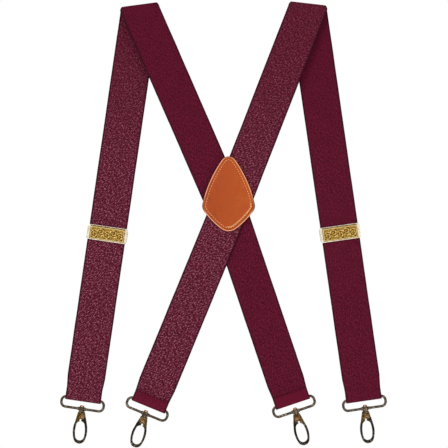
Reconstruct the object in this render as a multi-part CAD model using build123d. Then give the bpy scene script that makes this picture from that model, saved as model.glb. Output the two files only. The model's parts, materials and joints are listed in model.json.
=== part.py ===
from build123d import *
from math import acos, atan2, cos, degrees, hypot, radians, sin
import os

# Four-hook X-back suspenders, folded over at the shoulders and hanging straight down.
# Millimetres, +Z up. The origin is the crossing of the back straps, on the outer face
# of the back patch, which faces -Y. Left and right are the sides seen from -Y.
# Flat positions are (x, z) pairs. A strap's own frame is u across, v up along it, n to -Y.

# webbing
WEB_WIDTH = 38.0
WEB_THICK = 1.4
END_WIDTH = 36.0
TAPER_LENGTH = 12.0
FOLD_INNER_R = 3.0

# where the webbing runs
SHOULDERS = {"left": (-88.7, 203.4), "right": (79.7, 204.5)}
STRAP_ENDS = {
    "front_left": (-146.2, -191.0),
    "front_right": (136.5, -190.4),
    "back_left": (-80.3, -195.4),
    "back_right": (65.0, -192.8),
}
CROSSING = (0.0, 0.0)
HOOK_LEANS = {"front_left": 4.8, "front_right": -5.6, "back_left": 17.8, "back_right": -15.7}
GATE_SIDES = {"front_left": 1, "front_right": 1, "back_left": -1, "back_right": -1}

# leather patch
PATCH_THICK = 2.0
PATCH_CENTRE_X = 0.3
PATCH_TOP_Z = 60.5
PATCH_SIDE = (27.1, 3.8)
PATCH_BOTTOM_Z = -22.2
PATCH_FLANK_BULGE = 4.0
PATCH_LOWER_BULGE = 2.2
PATCH_TOP_R = 8.0
PATCH_SIDE_R = 8.5
PATCH_BOTTOM_R = 12.0
PATCH_EDGE_R = 0.7

# thread
STITCH_INSET = 3.5
STITCH_LENGTH = 2.5
STITCH_PITCH = 3.6
STITCH_WIDTH = 0.6
STITCH_HEIGHT = 0.3
STITCH_ROOM = 0.1
HEM_STITCH_DROP = 1.6

# loop at each strap end
LOOP_WIRE_R = 1.3
LOOP_WIDTH = 45.4
LOOP_BAR_GAP = 10.4
LOOP_CORNER_R = 4.6
CHANNEL_R = 1.6
HEM_RISE = 9.0
HEM_JOIN = 7.0
HEM_OUTER_JOIN = 7.4
COLLAR_R = 2.9
COLLAR_TOP = 1.9
COLLAR_BOTTOM = -2.6
SLEEVE_R = 1.75
SLEEVE_LENGTH = 8.4
STEM_R = 1.2
RUNNING_CLEARANCE = 0.07

# take-up
RUN_GAP = 0.15
TURN_TOP = 10.0
ADJUSTER_DROP = 228.2
ADJUSTER_WIDTH = 40.6
ADJUSTER_HEIGHT = 15.0
ADJUSTER_WALL = 1.0
ADJUSTER_CORNER_R = 2.0
FRAME_BACK_N = 0.8
FRAME_FRONT_N = 2.8
OPENING_WIDTH = 34.9
OPENING_TOP = 6.9
OPENING_BOTTOM = -6.6
WALL_HALF_HEIGHT = 5.5
WALL_BACK_N = -5.6
BACK_BAR_R = 0.9
BACK_CHANNEL_R = 1.0
BACK_BAR_V = -2.0
BACK_HEM_RISE = 12.0
BACK_HEM_JOIN = 6.0
COVER_WIDTH = 34.3
COVER_THICK = 1.2
COVER_AXIS_V = 5.4
COVER_AXIS_N = 1.95
COVER_KNUCKLE_R = 1.1
COVER_TOP = 6.3
COVER_BOTTOM = -6.4
COVER_PIN_R = 0.5
COVER_CORNER_R = 1.2
COVER_TEETH = 11
TOOTH_WIDTH = 1.6
TOOTH_DEPTH = 0.7
TOOTH_HEIGHT = 1.0
TOOTH_DROP = 1.4

# snap hook, measured from the loop's lower bar
HOOK_TOP = -2.9
HOOK_BOTTOM = -35.0
HOOK_WIDTH = 14.5
HOOK_THICK = 3.6
HOOK_WIDEST = -22.0
HOOK_END_R = 6.0
HOOK_SHOULDER = -5.4
EYE_WIDTH = 9.8
EYE_TOP = -12.4
EYE_BOTTOM = -31.8
EYE_WIDEST = -22.5
EYE_END_R = 4.4
HOOK_EDGE_R = 0.65
NECK_HALF_WIDTH = 3.4
NECK_FOOT = (5.88, -14.0)
NECK_CORNER_R = 0.8
PIVOT_U = 0.9
PIVOT_V = -7.9
CHEEK_THICK = 0.75
GATE_HEAD_R = 2.35
GATE_ARM_START_R = 2.7
GATE_REACH = 17.0
GATE_GAP = 0.14
GATE_SIDE_GAP = 0.1
GATE_SWING = 25
GATE_STEP = 2.5
GATE_SHOULDER = 24
GATE_INNER = -97
GATE_PIN_R = 0.8
GRIP_RIDGES = 7
GRIP_RIDGE_R = 0.32
GRIP_TOP = -9.6
GRIP_PITCH = 0.75
SPRING_WIRE_R = 0.17
SPRING_COIL_R = 1.3
SPRING_PITCH = 0.38
SPRING_TURNS = 1.25
SPRING_POCKET_R = 1.6
SPRING_POCKET_DEPTH = 0.9
RIVET_SEAT = -4.8
RIVET_HEAD_BASE = 2.0
RIVET_HEAD_TOP = 3.7
RIVET_HEAD_R = 2.1
RIVET_DOME_R = 1.3

# depths of the layers, front to back
FOLD_MID_R = FOLD_INNER_R + WEB_THICK / 2
BACK_LAYER_Y = {
    "right": PATCH_THICK + WEB_THICK / 2,
    "left": PATCH_THICK + 1.5 * WEB_THICK,
}
FRONT_LAYER_Y = {side: y + 2 * FOLD_MID_R for side, y in BACK_LAYER_Y.items()}
SHOULDER_OF_BACK_END = {"back_left": "right", "back_right": "left"}


def lean_between(low, high):
    """Angle from +Z to the line low-high, positive when the top leans to +X."""
    return degrees(atan2(high[0] - low[0], high[1] - low[1]))


def step_from(point, lean, u, v):
    """The (x, z) point u across and v up a strap with this lean."""
    a = radians(lean)
    return (point[0] + u * cos(a) + v * sin(a), point[1] - u * sin(a) + v * cos(a))


def meet(point_a, lean_a, point_b, lean_b):
    """Where two lines cross, each given by a point and its angle from +Z."""
    ax, az = sin(radians(lean_a)), cos(radians(lean_a))
    bx, bz = sin(radians(lean_b)), cos(radians(lean_b))
    dx, dz = point_b[0] - point_a[0], point_b[1] - point_a[1]
    along = (dx * bz - dz * bx) / (ax * bz - az * bx)
    return (point_a[0] + along * ax, point_a[1] + along * az)


def strap_plane(point, y, lean):
    """Plane whose local axes are u, v and n."""
    a = radians(lean)
    return Plane(origin=(point[0], y, point[1]), x_dir=(cos(a), 0, -sin(a)), z_dir=(0, -1, 0))


def end_lean(end):
    """Lean of the strap's last run down to this end."""
    side = end.split("_")[1]
    top = SHOULDERS[side] if end.startswith("front") else CROSSING
    return lean_between(STRAP_ENDS[end], top)


def end_layer_y(end):
    """Mid-plane depth of the webbing at this end."""
    side = end.split("_")[1]
    if end.startswith("front"):
        return FRONT_LAYER_Y[side]
    return BACK_LAYER_Y[SHOULDER_OF_BACK_END[end]]


def hem_side(end):
    """Which face the webbing turns towards: +1 is -Y, -1 is +Y."""
    return -1 if end.startswith("front") else 1


def bar_point(end):
    """(x, z) centre of the loop bar inside the webbing."""
    return step_from(STRAP_ENDS[end], end_lean(end), 0, CHANNEL_R + WEB_THICK)


def bar_y(end):
    """Depth of the loop's plane."""
    return end_layer_y(end) - hem_side(end) * (WEB_THICK / 2 + CHANNEL_R)


def swivel_point(end):
    """(x, z) centre of the loop's lower bar."""
    return step_from(bar_point(end), end_lean(end), 0, -LOOP_BAR_GAP)


def crease_lean(side):
    """Angle of the shoulder crease from +Z. It halves the turn between the two runs."""
    back = lean_between(CROSSING, SHOULDERS[side])
    front = lean_between(STRAP_ENDS["front_" + side], SHOULDERS[side])
    return (back + front) / 2 + 90


def crease_half_length(side):
    """Half the webbing's width, measured along the crease."""
    front = lean_between(STRAP_ENDS["front_" + side], SHOULDERS[side])
    return WEB_WIDTH / 2 / cos(radians(crease_lean(side) - 90 - front))


def flat_webbing(outline, y):
    """A flat run of webbing from its (x, z) outline."""
    face = make_face(Polyline(*outline, close=True))
    return strap_plane((0, 0), y, 0) * extrude(face, amount=WEB_THICK / 2, both=True)


def tangent_angle(point, radius):
    """Angle at which a line from this point touches a circle at the origin, in degrees."""
    return degrees(atan2(point[1], point[0]) + acos(radius / hypot(*point)))


def hem_section(channel_r, gap, rise, join, outer_join, main_top):
    """Webbing turned round a bar at the origin, in (v, n): the main run is at -n."""
    outer_r = channel_r + WEB_THICK
    lap = -channel_r + gap
    inner_knee = (join, lap)
    outer_knee = (outer_join, lap + WEB_THICK)
    inner_touch = tangent_angle(inner_knee, channel_r)
    outer_touch = tangent_angle(outer_knee, outer_r)
    outer_arc = CenterArc((0, 0), outer_r, -90, outer_touch - 270)
    rest = [outer_arc @ 1, outer_knee, (rise, lap + WEB_THICK), (rise, -channel_r)]
    if main_top > rise:
        rest.append((main_top, -channel_r))
    rest += [(main_top, -outer_r), outer_arc @ 0]
    section = make_face([*outer_arc.edges(), *Polyline(*rest).edges()])
    inner_arc = CenterArc((0, 0), channel_r, -90, inner_touch - 270)
    channel = [inner_arc @ 1, inner_knee]
    if gap:
        channel += [(rise, lap), (rise, -channel_r)]
    channel.append(inner_arc @ 0)
    return section - make_face([*inner_arc.edges(), *Polyline(*channel).edges()])


def across(face, width):
    """Extrude a (v, n) face across the strap."""
    return extrude(Plane.YZ * face, amount=width / 2, both=True)


def end_plane(end):
    """Frame centred on the loop bar, with +n on the side the webbing turns to."""
    plane = strap_plane(bar_point(end), bar_y(end), end_lean(end))
    return plane if hem_side(end) > 0 else Plane(plane.origin, -plane.x_dir, -plane.z_dir)


def back_strap(side):
    """One strap from the shoulder crease, through the crossing, to its hem."""
    end = "back_right" if side == "left" else "back_left"
    shoulder, crease = SHOULDERS[side], crease_lean(side)
    upper, lower = lean_between(CROSSING, shoulder), end_lean(end)
    start = bar_point(end)
    edges = []
    for u in (-1, 1):
        half, end_half = u * WEB_WIDTH / 2, u * END_WIDTH / 2
        upper_side = step_from(CROSSING, upper, half, 0)
        lower_side = step_from(CROSSING, lower, half, 0)
        edges.append(
            [
                meet(shoulder, crease, upper_side, upper),
                meet(upper_side, upper, lower_side, lower),
                step_from(start, lower, half, HEM_RISE + TAPER_LENGTH),
                step_from(start, lower, end_half, HEM_RISE),
            ]
        )
    sheet = flat_webbing(edges[0] + edges[1][::-1], end_layer_y(end))
    section = hem_section(CHANNEL_R, 0, HEM_RISE, HEM_JOIN, HEM_OUTER_JOIN, HEM_RISE)
    return sheet + end_plane(end) * across(section, END_WIDTH)


def shoulder_bend(side):
    """The half turn of webbing over the shoulder."""
    a = radians(crease_lean(side))
    centre = (SHOULDERS[side][0], BACK_LAYER_Y[side] + FOLD_MID_R, SHOULDERS[side][1])
    plane = Plane(origin=centre, x_dir=(0, 1, 0), z_dir=(sin(a), 0, cos(a)))
    outer_r = FOLD_INNER_R + WEB_THICK
    ring = Circle(outer_r) - Circle(FOLD_INNER_R)
    half = ring & Pos(0, outer_r / 2) * Rectangle(2 * outer_r, outer_r)
    return plane * extrude(half, amount=crease_half_length(side), both=True)


def front_strap(side):
    """The front run, from the crease to just above the loop."""
    end = "front_" + side
    lean, start = end_lean(end), bar_point(end)
    edges = []
    for u in (-1, 1):
        half = u * WEB_WIDTH / 2
        edges.append(
            [
                meet(SHOULDERS[side], crease_lean(side), step_from(start, lean, half, 0), lean),
                step_from(start, lean, half, TURN_TOP + TAPER_LENGTH),
                step_from(start, lean, u * END_WIDTH / 2, TURN_TOP),
            ]
        )
    return flat_webbing(edges[0] + edges[1][::-1], end_layer_y(end))


def strap_turn(side):
    """The webbing's turn round the loop bar on a front strap."""
    section = hem_section(CHANNEL_R, RUN_GAP, TURN_TOP, HEM_JOIN, HEM_OUTER_JOIN, TURN_TOP)
    return end_plane("front_" + side) * across(section, END_WIDTH)


def adjuster_point(side):
    """(x, z) centre of the adjuster on the front strap."""
    return step_from(SHOULDERS[side], end_lean("front_" + side), 0, -ADJUSTER_DROP)


def adjuster_plane(side):
    """Adjuster's frame, on the mid-plane of the front run."""
    return strap_plane(adjuster_point(side), FRONT_LAYER_Y[side], end_lean("front_" + side))


def back_bar_n():
    """Depth of the adjuster's back bar behind the front run's mid-plane."""
    return -(1.5 * WEB_THICK + RUN_GAP + BACK_CHANNEL_R)


def return_run(side):
    """The webbing behind the front run, from the turn up to the adjuster's back bar."""
    bar = step_from(adjuster_point(side), end_lean("front_" + side), 0, BACK_BAR_V)
    low = bar_point("front_" + side)
    length = hypot(bar[0] - low[0], bar[1] - low[1]) - TURN_TOP
    section = hem_section(
        BACK_CHANNEL_R, 0, BACK_HEM_RISE, BACK_HEM_JOIN, BACK_HEM_JOIN, length
    )
    turned = Pos(0, BACK_BAR_V, back_bar_n()) * Rot(180, 0, 0) * across(section, END_WIDTH)
    return adjuster_plane(side) * turned


def bar_across(radius, length, v, n):
    """A round bar across the strap."""
    return Pos(0, v, n) * Rot(0, 90, 0) * Cylinder(radius, length)


def adjuster_frame(side):
    """Rim in front of the webbing and the two walls beside it."""
    middle = (FRAME_BACK_N + FRAME_FRONT_N) / 2
    depth = FRAME_FRONT_N - FRAME_BACK_N
    rim = Pos(0, 0, middle) * Box(ADJUSTER_WIDTH, ADJUSTER_HEIGHT, depth)
    rim = fillet(rim.edges().filter_by(Axis.Z), ADJUSTER_CORNER_R)
    rim -= Pos(0, (OPENING_TOP + OPENING_BOTTOM) / 2, middle) * Box(
        OPENING_WIDTH, OPENING_TOP - OPENING_BOTTOM, 2 * depth
    )
    wall_depth = middle - WALL_BACK_N
    wall_u = ADJUSTER_WIDTH / 2 - ADJUSTER_WALL / 2
    for u in (-wall_u, wall_u):
        rim += Pos(u, 0, WALL_BACK_N + wall_depth / 2) * Box(
            ADJUSTER_WALL, 2 * WALL_HALF_HEIGHT, wall_depth
        )
    rim -= bar_across(BACK_BAR_R, ADJUSTER_WIDTH, BACK_BAR_V, back_bar_n())
    rim -= bar_across(COVER_PIN_R, pin_length(), COVER_AXIS_V, COVER_AXIS_N)
    return adjuster_plane(side) * rim


def pin_length():
    """Length of the cover's pin, blind at both ends."""
    return (OPENING_WIDTH + ADJUSTER_WIDTH) / 2


def adjuster_bar(side):
    """Bar behind the webbing that the return run is sewn round."""
    bar = bar_across(BACK_BAR_R, ADJUSTER_WIDTH, BACK_BAR_V, back_bar_n())
    return adjuster_plane(side) * bar


def adjuster_pin(side):
    """Hinge pin of the cover."""
    return adjuster_plane(side) * bar_across(COVER_PIN_R, pin_length(), COVER_AXIS_V, COVER_AXIS_N)


def adjuster_cover(side):
    """Hinged cover with gripping teeth under its knuckle."""
    knuckle = bar_across(COVER_KNUCKLE_R, COVER_WIDTH, COVER_AXIS_V, COVER_AXIS_N)
    face_n = COVER_AXIS_N + COVER_KNUCKLE_R
    height = COVER_TOP - COVER_BOTTOM
    plate = Pos(0, (COVER_TOP + COVER_BOTTOM) / 2, face_n - COVER_THICK / 2) * Box(
        COVER_WIDTH, height, COVER_THICK
    )
    low_corners = plate.edges().filter_by(Axis.Z).group_by(Axis.Y)[0]
    plate = fillet(low_corners, COVER_CORNER_R)
    cover = plate + knuckle
    tooth_n = face_n - COVER_THICK - TOOTH_DEPTH / 2
    pitch = COVER_WIDTH / (COVER_TEETH + 1)
    for i in range(COVER_TEETH):
        u = (i - (COVER_TEETH - 1) / 2) * pitch
        tooth = Box(TOOTH_WIDTH, TOOTH_HEIGHT, TOOTH_DEPTH)
        cover += Pos(u, COVER_AXIS_V - TOOTH_DROP, tooth_n) * tooth
    bore = bar_across(COVER_PIN_R + RUNNING_CLEARANCE, 2 * COVER_WIDTH, COVER_AXIS_V, COVER_AXIS_N)
    return adjuster_plane(side) * (cover - bore)


def patch_outline():
    """Kite-shaped face with rounded corners, in (x, z)."""
    top, bottom = (0, PATCH_TOP_Z), (0, PATCH_BOTTOM_Z)
    side_x, side_z = PATCH_SIDE
    right, left = (side_x, side_z), (-side_x, side_z)
    edges = [
        SagittaArc(top, right, PATCH_FLANK_BULGE),
        SagittaArc(right, bottom, PATCH_LOWER_BULGE),
        SagittaArc(bottom, left, PATCH_LOWER_BULGE),
        SagittaArc(left, top, PATCH_FLANK_BULGE),
    ]
    face = make_face(edges)
    face = fillet(face.vertices().sort_by(Axis.Y)[-1], PATCH_TOP_R)
    face = fillet(face.vertices().sort_by(Axis.Y)[0], PATCH_BOTTOM_R)
    face = fillet(face.vertices().sort_by(Axis.X)[-1], PATCH_SIDE_R)
    return fillet(face.vertices().sort_by(Axis.X)[0], PATCH_SIDE_R)


def patch_plane(y, way):
    """Patch outline's frame at this depth, with its finished face towards way (-1 or +1) in Y."""
    return Plane(origin=(PATCH_CENTRE_X, y, 0), x_dir=(-way, 0, 0), z_dir=(0, way, 0))


def patch_stitch_spots():
    """Where each stitch sits on a patch's finished face, in the outline's frame."""
    row = offset(patch_outline(), -STITCH_INSET).face().outer_wire()
    count = round(row.length / STITCH_PITCH)
    spots = []
    for i in range(count):
        at, way = row.position_at(i / count), row.tangent_at(i / count)
        spots.append(Pos(at.X, at.Y, -STITCH_HEIGHT) * Rot(0, 0, degrees(atan2(way.Y, way.X))))
    return spots


def back_patch(contact_y, way):
    """One leather piece on the webbing at contact_y, with a dent pressed in for each stitch."""
    slab = extrude(patch_outline(), amount=PATCH_THICK)
    slab = fillet(slab.faces().sort_by(Axis.Z)[-1].outer_wire().edges(), PATCH_EDGE_R)
    room = 2 * STITCH_ROOM
    dent = Box(STITCH_LENGTH + room, STITCH_WIDTH + room, STITCH_HEIGHT)
    dent = Pos(0, 0, PATCH_THICK + STITCH_HEIGHT / 2) * dent
    slab -= [spot * dent for spot in patch_stitch_spots()]
    return patch_plane(contact_y, way) * slab


def stitch():
    """One stitch lying on a face at n = 0, along u."""
    bar = Box(STITCH_LENGTH, STITCH_WIDTH, STITCH_HEIGHT)
    bar = chamfer(bar.edges().filter_by(Axis.Y).group_by(Axis.Z)[-1], STITCH_HEIGHT / 2)
    return Pos(0, 0, STITCH_HEIGHT / 2) * bar


def patch_stitching():
    """The sewn rows sunk into both patches, flush with the leather."""
    inner_face_y = 2 * PATCH_THICK + 2 * WEB_THICK
    stitches = []
    for plane in (patch_plane(0, -1), patch_plane(inner_face_y, 1)):
        stitches += [plane * spot * stitch() for spot in patch_stitch_spots()]
    return Compound(stitches)


def hem_stitching():
    """The sewn row across each back hem, just below its cut edge."""
    count = int(END_WIDTH / STITCH_PITCH)
    stitches = []
    for end in ("back_left", "back_right"):
        for i in range(count):
            u = (i - (count - 1) / 2) * STITCH_PITCH
            spot = Pos(u, HEM_RISE - HEM_STITCH_DROP / 2, WEB_THICK - CHANNEL_R)
            stitches.append(end_plane(end) * spot * stitch())
    return Compound(stitches)


def end_loop(end):
    """Wire ring with the swivel collar on its lower bar."""
    half_width = LOOP_WIDTH / 2 - LOOP_WIRE_R
    bar_length = 2 * (half_width - LOOP_CORNER_R)
    post_length = LOOP_BAR_GAP - 2 * LOOP_CORNER_R
    corner = revolve(
        Plane.XZ * Pos(LOOP_CORNER_R, 0) * Circle(LOOP_WIRE_R), Axis.Z, revolution_arc=90
    )
    ring = bar_across(LOOP_WIRE_R, bar_length, LOOP_BAR_GAP, 0)
    ring += bar_across(LOOP_WIRE_R, bar_length, 0, 0)
    corner_u, high_v = half_width - LOOP_CORNER_R, LOOP_BAR_GAP - LOOP_CORNER_R
    for u in (-half_width, half_width):
        ring += Pos(u, LOOP_BAR_GAP / 2, 0) * Rot(90, 0, 0) * Cylinder(LOOP_WIRE_R, post_length)
    spots = [(1, high_v, 0), (-1, high_v, 90), (-1, LOOP_CORNER_R, 180), (1, LOOP_CORNER_R, 270)]
    for sign, v, turn in spots:
        ring += Pos(sign * corner_u, v, 0) * Rot(0, 0, turn) * corner
    tilt = end_lean(end) - HOOK_LEANS[end]
    height = COLLAR_TOP - COLLAR_BOTTOM
    spot = Rot(0, 0, tilt) * Pos(0, (COLLAR_TOP + COLLAR_BOTTOM) / 2, 0) * Rot(90, 0, 0)
    ring += spot * Cylinder(COLLAR_R, height)
    ring += bar_across(SLEEVE_R, SLEEVE_LENGTH, 0, 0)
    ring -= spot * Cylinder(STEM_R + RUNNING_CLEARANCE, 2 * height)
    return strap_plane(swivel_point(end), bar_y(end), end_lean(end)) * ring


def hook_plane(end):
    """Hook's frame, centred on the loop's lower bar."""
    return strap_plane(swivel_point(end), bar_y(end), HOOK_LEANS[end])


def egg(width, top, bottom, widest, end_r):
    """Egg-shaped face: a round bottom, flatter sides and a tighter round top, all tangent."""
    half, low = width / 2, bottom + end_r
    side_r = (half**2 + (widest - low) ** 2 - end_r**2) / (2 * (half - end_r))
    rise = top - widest
    top_r = (2 * side_r * half - half**2 - rise**2) / (2 * (side_r - rise))
    side_u, high = side_r - half, top - top_r
    up = degrees(atan2(high - widest, side_u))
    down = degrees(atan2(widest - low, side_u))
    arcs = [
        CenterArc((0, high), top_r, up, 180 - 2 * up),
        CenterArc((side_u, widest), side_r, 180 - up, up + down),
        CenterArc((0, low), end_r, 180 + down, 180 - 2 * down),
        CenterArc((-side_u, widest), side_r, -down, up + down),
    ]
    return make_face(arcs)


def neck_half_width(v):
    """Half the width of the hook's straight-sided neck at height v."""
    foot_u, foot_v = NECK_FOOT
    return NECK_HALF_WIDTH + (foot_u - NECK_HALF_WIDTH) * (HOOK_TOP - v) / (HOOK_TOP - foot_v)


def hook_face():
    """The whole hook's outline with its eye, gate included, in (u, v)."""
    foot_u, foot_v = NECK_FOOT
    neck = make_face(
        Polyline(
            (-NECK_HALF_WIDTH, HOOK_TOP),
            (NECK_HALF_WIDTH, HOOK_TOP),
            (foot_u, foot_v),
            (-foot_u, foot_v),
            close=True,
        )
    )
    neck = fillet(neck.vertices().group_by(Axis.Y)[-1], NECK_CORNER_R)
    outline = egg(HOOK_WIDTH, HOOK_SHOULDER, HOOK_BOTTOM, HOOK_WIDEST, HOOK_END_R) + neck
    return outline - egg(EYE_WIDTH, EYE_TOP, EYE_BOTTOM, EYE_WIDEST, EYE_END_R)


def hook_blank():
    """The whole hook before the gate is cut out of it, with rounded edges."""
    blank = plate_of(hook_face(), HOOK_THICK / 2)
    return fillet(blank.faces().filter_by(Axis.Z).edges(), HOOK_EDGE_R)


def gate_sector(radius):
    """Wedge round the gate's pivot that the gate's arm fills."""
    arc = CenterArc((0, 0), radius, GATE_INNER, GATE_SHOULDER - GATE_INNER)
    sides = Polyline(arc @ 1, (0, 0), arc @ 0)
    return Pos(PIVOT_U, PIVOT_V) * make_face([*arc.edges(), *sides.edges()])


def gate_arm():
    """The part of the blank that swings, without its head."""
    sector = plate_of(gate_sector(GATE_REACH), HOOK_THICK)
    sector -= Pos(PIVOT_U, PIVOT_V) * Cylinder(GATE_ARM_START_R, 3 * HOOK_THICK)
    return (hook_blank() & sector).solids().sort_by(SortBy.VOLUME)[-1]


def gate_path():
    """Outline of the gate's arm, widened by the running gap."""
    arm = hook_face() & gate_sector(GATE_REACH)
    arm -= Pos(PIVOT_U, PIVOT_V) * Circle(GATE_ARM_START_R)
    return offset(arm.faces().sort_by(SortBy.AREA)[-1], GATE_GAP)


def turned_about_pivot(shape, angle):
    """Turn a shape about the gate's pivot."""
    return Pos(PIVOT_U, PIVOT_V) * Rot(0, 0, angle) * Pos(-PIVOT_U, -PIVOT_V) * shape


def plate_of(face, half_thick):
    """Extrude a (u, v) face equally to both sides of the hook's middle."""
    return extrude(face, amount=half_thick, both=True)


def for_side(shape, end):
    """Mirror a hook part when its gate is on the -u side."""
    return shape if GATE_SIDES[end] > 0 else mirror(shape, about=Plane.YZ)


def hook_body(end):
    """Hook with its neck, cheeks and eye, cleared for the gate's swing."""
    pivot = Pos(PIVOT_U, PIVOT_V)
    body = hook_blank()
    for i in range(int(GATE_SWING / GATE_STEP) + 1):
        body -= plate_of(turned_about_pivot(gate_path(), -i * GATE_STEP), HOOK_THICK)
    slot_half = HOOK_THICK / 2 - CHEEK_THICK
    body -= pivot * Cylinder(GATE_ARM_START_R + GATE_GAP, 2 * slot_half)
    body -= pivot * Cylinder(GATE_PIN_R, 2 * HOOK_THICK)
    seat_depth = HOOK_TOP - RIVET_SEAT
    body -= Pos(0, HOOK_TOP - seat_depth / 2, 0) * Rot(90, 0, 0) * Cylinder(STEM_R, seat_depth)
    body = body.solids().sort_by(SortBy.VOLUME)[-1]
    return hook_plane(end) * for_side(body, end)


def hook_gate(end):
    """Sprung gate with a ridged outer edge."""
    pivot = Pos(PIVOT_U, PIVOT_V)
    ridge_length = HOOK_THICK - 2 * HOOK_EDGE_R
    head_half = HOOK_THICK / 2 - CHEEK_THICK - GATE_SIDE_GAP
    gate = gate_arm()
    for i in range(GRIP_RIDGES):
        v = GRIP_TOP - i * GRIP_PITCH
        gate += Pos(neck_half_width(v), v) * Cylinder(GRIP_RIDGE_R, ridge_length)
    bridge = gate_sector(GATE_ARM_START_R + GATE_GAP / 2) - pivot * Circle(GATE_HEAD_R - GATE_GAP)
    gate += pivot * plate_of(Circle(GATE_HEAD_R), head_half)
    gate += plate_of(bridge, head_half)
    gate -= pivot * Cylinder(GATE_PIN_R + RUNNING_CLEARANCE, 2 * HOOK_THICK)
    pocket = Pos(PIVOT_U, PIVOT_V, head_half - SPRING_POCKET_DEPTH / 2)
    gate -= pocket * Cylinder(SPRING_POCKET_R, SPRING_POCKET_DEPTH)
    gate = gate.solids().sort_by(SortBy.VOLUME)[-1]
    return hook_plane(end) * for_side(gate, end)


def gate_pin(end):
    """Pin through the cheeks and the gate."""
    pin = Pos(PIVOT_U, PIVOT_V) * Cylinder(GATE_PIN_R, HOOK_THICK)
    return hook_plane(end) * for_side(pin, end)


def gate_spring(end):
    """Small torsion coil in the gate's pocket, round the pin."""
    height = SPRING_TURNS * SPRING_PITCH
    path = Helix(pitch=SPRING_PITCH, height=height, radius=SPRING_COIL_R)
    section = Plane(origin=path @ 0, z_dir=path % 0) * Circle(SPRING_WIRE_R)
    coil = sweep(section, path=path, is_frenet=True)
    head_half = HOOK_THICK / 2 - CHEEK_THICK - GATE_SIDE_GAP
    base = head_half - SPRING_POCKET_DEPTH + 2 * SPRING_WIRE_R
    return hook_plane(end) * for_side(Pos(PIVOT_U, PIVOT_V, base) * coil, end)


def swivel_rivet(end):
    """Headed stem that holds the hook in the loop's collar and lets it spin."""
    stem_length = RIVET_HEAD_BASE - RIVET_SEAT
    head_height = RIVET_HEAD_TOP - RIVET_HEAD_BASE
    head = Cylinder(RIVET_HEAD_R, head_height)
    head = fillet(head.edges().group_by(Axis.Z)[-1], RIVET_DOME_R)
    stem = Pos(0, 0, -(head_height + stem_length) / 2) * Cylinder(STEM_R, stem_length)
    rivet = Pos(0, RIVET_HEAD_BASE + head_height / 2, 0) * Rot(-90, 0, 0) * (head + stem)
    return hook_plane(end) * rivet


def all_parts():
    """Every node's shape, by name."""
    parts = {
        "back_patch_outer": back_patch(PATCH_THICK, -1),
        "back_patch_inner": back_patch(PATCH_THICK + 2 * WEB_THICK, 1),
        "patch_stitching": patch_stitching(),
        "hem_stitching": hem_stitching(),
    }
    for side in SHOULDERS:
        parts["back_strap_" + side] = back_strap(side)
        parts["shoulder_bend_" + side] = shoulder_bend(side)
        parts["front_strap_" + side] = front_strap(side)
        parts["strap_turn_" + side] = strap_turn(side)
        parts["return_run_" + side] = return_run(side)
        parts["adjuster_frame_" + side] = adjuster_frame(side)
        parts["adjuster_bar_" + side] = adjuster_bar(side)
        parts["adjuster_pin_" + side] = adjuster_pin(side)
        parts["adjuster_cover_" + side] = adjuster_cover(side)
    for end in STRAP_ENDS:
        parts["loop_" + end] = end_loop(end)
        parts["hook_" + end] = hook_body(end)
        parts["gate_" + end] = hook_gate(end)
        parts["gate_pin_" + end] = gate_pin(end)
        parts["gate_spring_" + end] = gate_spring(end)
        parts["swivel_rivet_" + end] = swivel_rivet(end)
    return parts


if __name__ == "__main__":
    os.makedirs("parts", exist_ok=True)
    for name, shape in all_parts().items():
        export_step(shape, f"parts/{name}.step")
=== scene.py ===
import json
import math
import bpy
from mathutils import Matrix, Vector, geometry, noise


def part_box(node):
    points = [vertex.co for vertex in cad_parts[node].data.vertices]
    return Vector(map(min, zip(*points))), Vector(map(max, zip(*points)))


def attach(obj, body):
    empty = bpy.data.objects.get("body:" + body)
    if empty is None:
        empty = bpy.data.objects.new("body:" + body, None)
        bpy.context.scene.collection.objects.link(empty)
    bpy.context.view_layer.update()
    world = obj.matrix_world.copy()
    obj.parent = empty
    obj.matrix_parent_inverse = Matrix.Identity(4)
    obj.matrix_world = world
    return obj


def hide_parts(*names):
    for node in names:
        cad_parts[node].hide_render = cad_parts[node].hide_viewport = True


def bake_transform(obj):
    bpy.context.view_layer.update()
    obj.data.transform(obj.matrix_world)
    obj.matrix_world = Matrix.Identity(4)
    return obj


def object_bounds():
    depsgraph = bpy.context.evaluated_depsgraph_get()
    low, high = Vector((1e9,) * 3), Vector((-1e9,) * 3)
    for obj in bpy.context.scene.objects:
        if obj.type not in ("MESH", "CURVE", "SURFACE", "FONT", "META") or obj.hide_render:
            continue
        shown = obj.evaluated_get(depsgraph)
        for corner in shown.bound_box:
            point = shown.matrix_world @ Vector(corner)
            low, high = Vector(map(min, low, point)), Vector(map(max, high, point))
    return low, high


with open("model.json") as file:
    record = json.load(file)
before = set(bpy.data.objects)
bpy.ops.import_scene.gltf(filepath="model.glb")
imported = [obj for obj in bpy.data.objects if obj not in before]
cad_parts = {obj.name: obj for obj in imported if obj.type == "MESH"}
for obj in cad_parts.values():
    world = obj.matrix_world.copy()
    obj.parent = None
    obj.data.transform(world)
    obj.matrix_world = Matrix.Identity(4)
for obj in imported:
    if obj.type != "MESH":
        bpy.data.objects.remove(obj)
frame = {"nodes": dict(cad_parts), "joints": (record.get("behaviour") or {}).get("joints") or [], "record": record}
cad_box = [list(corner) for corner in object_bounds()]

# X-back webbing suspenders with a leather patch, cam-cover adjusters and swivel snap hooks.
# Metres, +Z up. The back patch faces -Y, and the camera looks from that side.
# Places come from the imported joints, mounts and boxes. The sizes below are the pieces' own.

MM = 0.001

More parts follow.
